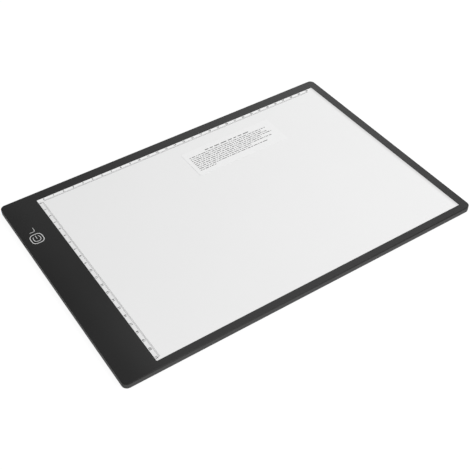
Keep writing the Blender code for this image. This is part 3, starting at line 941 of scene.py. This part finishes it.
labelSettings = {
    "titleDashes": (4.0, 3.2, 5.6, 6.6, 4.8, 3.2, 4.4, 6.2),  # in millimetres, as the rows' are
    "titleGap": 1.8 * mm,
    "titleHeight": 1.1 * mm,
    "titleShift": -1.5 * mm,  # from the label's middle
    "titleDown": 7.0 * mm,  # from the label's back edge
    "rowHeight": 0.8 * mm,
    "firstPitch": 2.95 * mm,
    "rowPitch": 2.56 * mm,
    "marginLeft": 4.2 * mm,
    "marginRight": 5.2 * mm,
    "dashes": (1.6, 3.9, 1.1, 2.6, 4.8, 0.9, 3.2, 2.0, 4.1, 1.3, 2.3, 5.2, 1.7),  # used in turn
    "gap": 1.0 * mm,
    "shortest": 1.0 * mm,  # no dash starts closer to its row's end
    "rowEnds": (0.96, 0.89, 0.95, 1.0, 0.84, 0.95, 0.67, 0.87, 0.19),  # shares of the full row
}


def makeLabelPrint():
    ink = printInk("label_ink", inkSettings["labelInk"])
    bm = bmesh.new()
    z = labelHigh.z
    title = [dash * mm for dash in labelSettings["titleDashes"]]
    titleGap = labelSettings["titleGap"]
    titleLength = sum(title) + titleGap * (len(title) - 1)
    x = (labelLow.x + labelHigh.x - titleLength) / 2 + labelSettings["titleShift"]
    y = labelHigh.y - labelSettings["titleDown"]
    for dash in title:
        addBar(bm, x, x + dash, y, y + labelSettings["titleHeight"], z)
        x += dash + titleGap
    dashes = [dash * mm for dash in labelSettings["dashes"]]
    number = 0
    left = labelLow.x + labelSettings["marginLeft"]
    full = labelHigh.x - labelSettings["marginRight"] - left
    for row, share in enumerate(labelSettings["rowEnds"]):
        y -= labelSettings["rowPitch" if row else "firstPitch"]
        x = left
        end = left + full * share
        while x < end - labelSettings["shortest"]:
            dash = dashes[number % len(dashes)]
            number += 1
            addBar(bm, x, min(x + dash, end), y, y + labelSettings["rowHeight"], z)
            x += dash + labelSettings["gap"]
    finishPrint("label_rows", bm, ink)


makeLabelPrint()
print("label printed")


# Floor, world and lamps

studioSettings = {
    "floorHalf": 4.0,  # from the floor's middle to its sides
    "floorSquares": 8,
    "floorPlain": 0.80,  # the floor's tone where it only sends light back to the object
    "floorTone": 0.14,  # where it is seen, this tone takes the shadow
    "floorGlow": 0.90,  # and this glow makes it white
    "worldLevel": 0.38,  # the world where it lights the object
    "worldSeen": 1.0,  # and where it is seen
    "lampSize": 1.6,
}

# Where each soft lamp stands, and its power in watts
lampSettings = {
    "key_lamp_back": ((1.427, 1.713, 1.332), 14.4),
    "key_lamp_right": ((1.795, 0.997, 1.596), 9.6),
    "fill_lamp_front": ((0.40, -2.00, 1.60), 54.0),
}


def seenDirectly(tree):
    # 1 for rays that the camera, a gloss or glass sends straight to the surface
    path = tree.nodes.new("ShaderNodeLightPath")
    total = path.outputs["Is Camera Ray"]
    for name in ("Is Glossy Ray", "Is Transmission Ray"):
        joined = tree.nodes.new("ShaderNodeMath")
        joined.operation = "MAXIMUM"
        tree.links.new(total, joined.inputs[0])
        tree.links.new(path.outputs[name], joined.inputs[1])
        total = joined.outputs[0]
    return total


def makeFloor():
    squares = studioSettings["floorSquares"]
    half = studioSettings["floorHalf"]
    bm = bmesh.new()
    bmesh.ops.create_grid(bm, x_segments=squares, y_segments=squares, size=half)
    mesh = bpy.data.meshes.new("floor")
    bm.to_mesh(mesh)
    bm.free()
    floor = bpy.data.objects.new("floor", mesh)
    bpy.context.collection.objects.link(floor)
    material = bpy.data.materials.new("floor_white")
    material.use_nodes = True
    tree = material.node_tree
    tree.nodes.remove(tree.nodes["Principled BSDF"])
    plain = tree.nodes.new("ShaderNodeBsdfDiffuse")
    plain.inputs["Color"].default_value = colour(studioSettings["floorPlain"])
    seen = tree.nodes.new("ShaderNodeBsdfDiffuse")
    seen.inputs["Color"].default_value = colour(studioSettings["floorTone"])
    glow = tree.nodes.new("ShaderNodeEmission")
    glow.inputs["Strength"].default_value = studioSettings["floorGlow"]
    both = tree.nodes.new("ShaderNodeAddShader")
    tree.links.new(seen.outputs[0], both.inputs[0])
    tree.links.new(glow.outputs[0], both.inputs[1])
    choice = tree.nodes.new("ShaderNodeMixShader")
    tree.links.new(seenDirectly(tree), choice.inputs["Fac"])
    tree.links.new(plain.outputs[0], choice.inputs[1])
    tree.links.new(both.outputs[0], choice.inputs[2])
    tree.links.new(choice.outputs[0], tree.nodes["Material Output"].inputs["Surface"])
    mesh.materials.append(material)


def makeWorld():
    world = bpy.data.worlds.new("studio")
    world.use_nodes = True
    tree = world.node_tree
    background = tree.nodes["Background"]
    background.inputs["Color"].default_value = colour(1.0)
    level = tree.nodes.new("ShaderNodeMapRange")
    tree.links.new(seenDirectly(tree), level.inputs["Value"])
    level.inputs["To Min"].default_value = studioSettings["worldLevel"]
    level.inputs["To Max"].default_value = studioSettings["worldSeen"]
    tree.links.new(level.outputs["Result"], background.inputs["Strength"])
    bpy.context.scene.world = world


def makeLamps():
    for name, (place, power) in lampSettings.items():
        data = bpy.data.lights.new(name, "AREA")
        data.shape = "SQUARE"
        data.size = studioSettings["lampSize"]
        data.energy = power
        lamp = bpy.data.objects.new(name, data)
        lamp.location = place
        lamp.rotation_mode = "QUATERNION"
        lamp.rotation_quaternion = (-Vector(place)).to_track_quat("-Z", "Y")
        bpy.context.collection.objects.link(lamp)


makeFloor()
makeWorld()
makeLamps()
bpy.context.scene.view_settings.view_transform = "Standard"
print("studio set")
